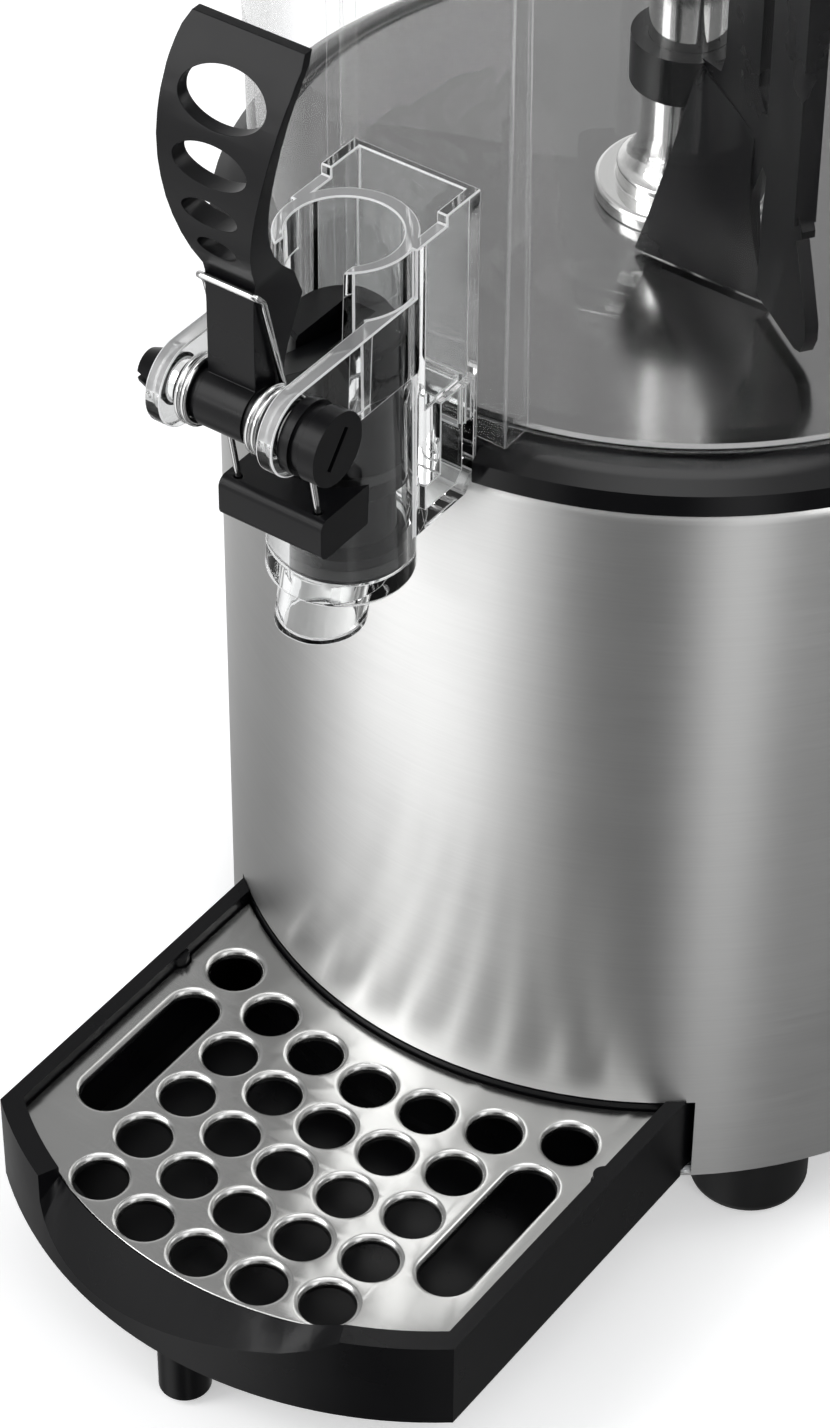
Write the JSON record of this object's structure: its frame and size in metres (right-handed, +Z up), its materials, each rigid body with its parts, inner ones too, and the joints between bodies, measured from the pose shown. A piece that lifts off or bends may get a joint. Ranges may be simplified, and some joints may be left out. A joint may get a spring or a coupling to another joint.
{
  "type": "hot chocolate dispenser",
  "caption": "Round countertop hot drink dispenser: steel heated base, clear bowl with stirrer, lever-operated plunger tap and a drip tray with a drain grille.",
  "frame": {"origin": "middle of the bounding box at table level", "axes": "+Z up, -Y towards the person drawing a drink, +X to that person's right"},
  "size_m": [0.277, 0.3984, 0.578],
  "materials": {
    "brushed_steel": "vertical brushed",
    "polished_steel": "polished",
    "zinc_steel": "zinc plated",
    "heater_steel": "dull",
    "spring_steel": "bright drawn",
    "brass": "turned",
    "bearing_bronze": "sintered",
    "cast_aluminium": "cast",
    "painted_motor": "dark lacquer",
    "black_plastic": "satin",
    "white_plastic": "satin",
    "clear_plastic": "clear polycarbonate",
    "seal_rubber": "satin",
    "rubber": "matt",
    "switch_green": "gloss",
    "lamp_amber": "gloss lens"
  },
  "bodies": {
    "base": {"body_shell": "brushed_steel", "base_plate": "zinc_steel", "rubber_feet": "rubber", "foot_screws": "zinc_steel", "shell_screws": "zinc_steel", "splash_wall": "zinc_steel", "bowl_seal_ring": "seal_rubber", "tank_floor": "polished_steel", "water_jacket": "zinc_steel", "heating_element": "heater_steel", "column_base": "polished_steel", "column_nut": "brass", "column_tube": "polished_steel", "lower_bush": "bearing_bronze", "upper_bush": "bearing_bronze", "gearbox": "cast_aluminium", "motor": "painted_motor", "motor_bracket": "zinc_steel", "control_panel": "black_plastic", "thermostat": "cast_aluminium", "switch_frame": "black_plastic", "pilot_lamp": "lamp_amber", "cable_gland": "black_plastic", "terminal_block": "white_plastic"},
    "stirrer": {"stirrer": "black_plastic", "drive_shaft": "polished_steel", "shaft_coupling": "zinc_steel", "gear_output": "zinc_steel"},
    "bowl": {"bowl": "clear_plastic", "tap_body": "clear_plastic", "lever_pin": "black_plastic", "return_spring": "spring_steel", "spring_bar": "black_plastic"},
    "lid": {"lid": "clear_plastic", "lid_knob": "black_plastic", "lid_knob_screw": "polished_steel"},
    "lever": {"tap_lever": "black_plastic"},
    "piston": {"tap_piston": "black_plastic", "piston_seals": "rubber", "piston_pin": "polished_steel"},
    "tray": {"drip_tray": "black_plastic"},
    "grille": {"tray_grille": "polished_steel"},
    "thermostat_knob": {"thermostat_knob": "black_plastic"},
    "switch_key": {"rocker_switch": "switch_green"}
  },
  "joints": [
    {"name": "stirrer_spin", "type": "hinge", "parent": "base", "child": "stirrer", "pos_m": [0, 0.06075, 0.4], "axis": [0, 0, 1], "continuous": true},
    {"name": "bowl_lift", "type": "slide", "parent": "base", "child": "bowl", "axis": [0, 0, 1], "range_m": [0, 0.3]},
    {"name": "lid_lift", "type": "slide", "parent": "bowl", "child": "lid", "axis": [0, 0, 1], "range_m": [0, 0.15]},
    {"name": "tap_lever_pull", "type": "hinge", "parent": "bowl", "child": "lever", "pos_m": [0, -0.15195, 0.349], "axis": [1, 0, 0], "range_deg": [0, 30], "stiffness_Nm_per_rad": 0.9, "springref_deg": -28.65, "deforming": ["return_spring"]},
    {"name": "piston_lift", "type": "slide", "parent": "bowl", "child": "piston", "axis": [0, 0, 1], "range_m": [0, 0.0252]},
    {"name": "tray_pull", "type": "slide", "parent": "base", "child": "tray", "axis": [0, -1, 0], "range_m": [0, 0.16]},
    {"name": "grille_lift", "type": "slide", "parent": "tray", "child": "grille", "axis": [0, 0, 1], "range_m": [0, 0.12]},
    {"name": "thermostat_turn", "type": "hinge", "parent": "base", "child": "thermostat_knob", "pos_m": [0.10801, 0.15138, 0.196], "axis": [0.766, 0.6428, 0], "range_deg": [0, 270]},
    {"name": "switch_rock", "type": "hinge", "parent": "base", "child": "switch_key", "pos_m": [0.10617, 0.14984, 0.122], "axis": [0.6428, -0.766, 0], "range_deg": [0, 12]}
  ],
  "couplings": [
    {"joint": "piston_lift", "follows": "tap_lever_pull", "m_per_rad": 0.0478}
  ]
}
